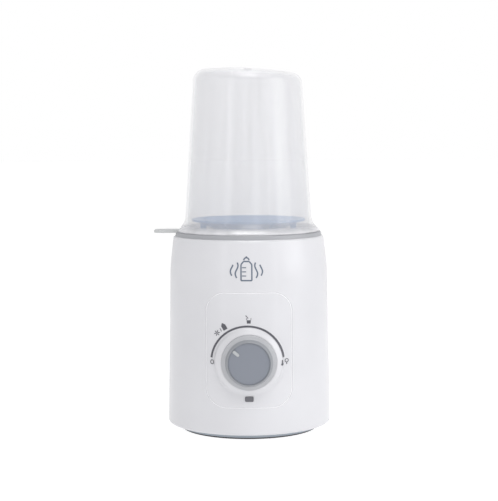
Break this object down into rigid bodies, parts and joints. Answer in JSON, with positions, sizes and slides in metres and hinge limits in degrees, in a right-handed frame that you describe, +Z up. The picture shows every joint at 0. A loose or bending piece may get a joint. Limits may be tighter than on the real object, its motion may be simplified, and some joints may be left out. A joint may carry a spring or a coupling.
{
  "type": "bottle warmer",
  "caption": "Upright electric bottle warmer: barrel housing with a dial, water chamber with lifter and steam tray, and a tall frosted hood.",
  "frame": {"origin": "on the housing's axis, in the plane that the foot ring stands on", "axes": "+Z up; the control panel and knob face -Y; the lifter's tab points to -X"},
  "size_m": [0.1439, 0.1468, 0.294],
  "materials": {
    "white_shell": "satin moulded",
    "grey_trim": "satin moulded",
    "chamber_grey": "satin moulded",
    "frosted_cover": "frosted translucent",
    "blue_dish": "translucent, smooth",
    "lifter_grey": "satin moulded",
    "dark_base": "fine texture",
    "soft_rubber": "matt",
    "knob_grey": "satin",
    "face_grey": "fine satin",
    "pointer_white": "smooth",
    "smoked_lens": "smooth, smoked",
    "aluminium": "turned",
    "steel": "zinc plated",
    "brass": "plain",
    "copper": "drawn copper",
    "silicone": "matt silicone",
    "heater_ceramic": "matt",
    "black_phenolic": "matt",
    "white_nylon": "matt",
    "fuse_metal": "lacquered",
    "lamp_glass": "clear",
    "brown_sleeve": "smooth",
    "blue_sleeve": "smooth",
    "white_sleeve": "woven glass sleeve"
  },
  "bodies": {
    "base_unit": {"base_plate": "dark_base", "foot_ring": "soft_rubber", "base_screws": "steel", "housing": "white_shell", "control_panel": "white_shell", "indicator_lens": "smoked_lens", "neon_lamp": "lamp_glass", "cord_gland": "soft_rubber", "thermostat": "black_phenolic", "thermostat_nut": "steel", "thermostat_tabs": "brass", "trim_ring": "grey_trim", "chamber_liner": "chamber_grey", "heater_gasket": "silicone", "heater_plate": "aluminium", "heater_retainer": "steel", "ptc_element": "heater_ceramic", "ptc_clamp": "steel", "heater_screws": "steel", "thermal_fuse": "fuse_metal", "sensing_bulb": "copper", "capillary_tube": "copper", "terminal_block": "white_nylon", "terminal_screws": "brass", "lead_live": "brown_sleeve", "lead_switched": "white_sleeve", "lead_fuse": "white_sleeve", "lead_neutral": "blue_sleeve", "lamp_leads": "white_sleeve"},
    "control_knob": {"knob": "knob_grey", "knob_face": "face_grey", "knob_pointer": "pointer_white", "thermostat_shaft": "steel"},
    "bottle_lifter": {"lifter": "lifter_grey"},
    "tray": {"steam_tray": "blue_dish"},
    "cover": {"hood": "frosted_cover"}
  },
  "joints": [
    {"name": "knob_turn", "type": "hinge", "parent": "base_unit", "child": "control_knob", "pos_m": [0, -0.069, 0.0631], "axis": [0, 1, 0], "range_deg": [-39, 141]},
    {"name": "lifter_lift", "type": "slide", "parent": "base_unit", "child": "bottle_lifter", "axis": [0, 0, 1], "range_m": [0, 0.12]},
    {"name": "tray_lift", "type": "slide", "parent": "bottle_lifter", "child": "tray", "axis": [0, 0, 1], "range_m": [0, 0.04]},
    {"name": "hood_lift", "type": "slide", "parent": "tray", "child": "cover", "axis": [0, 0, 1], "range_m": [0, 0.15]}
  ]
}
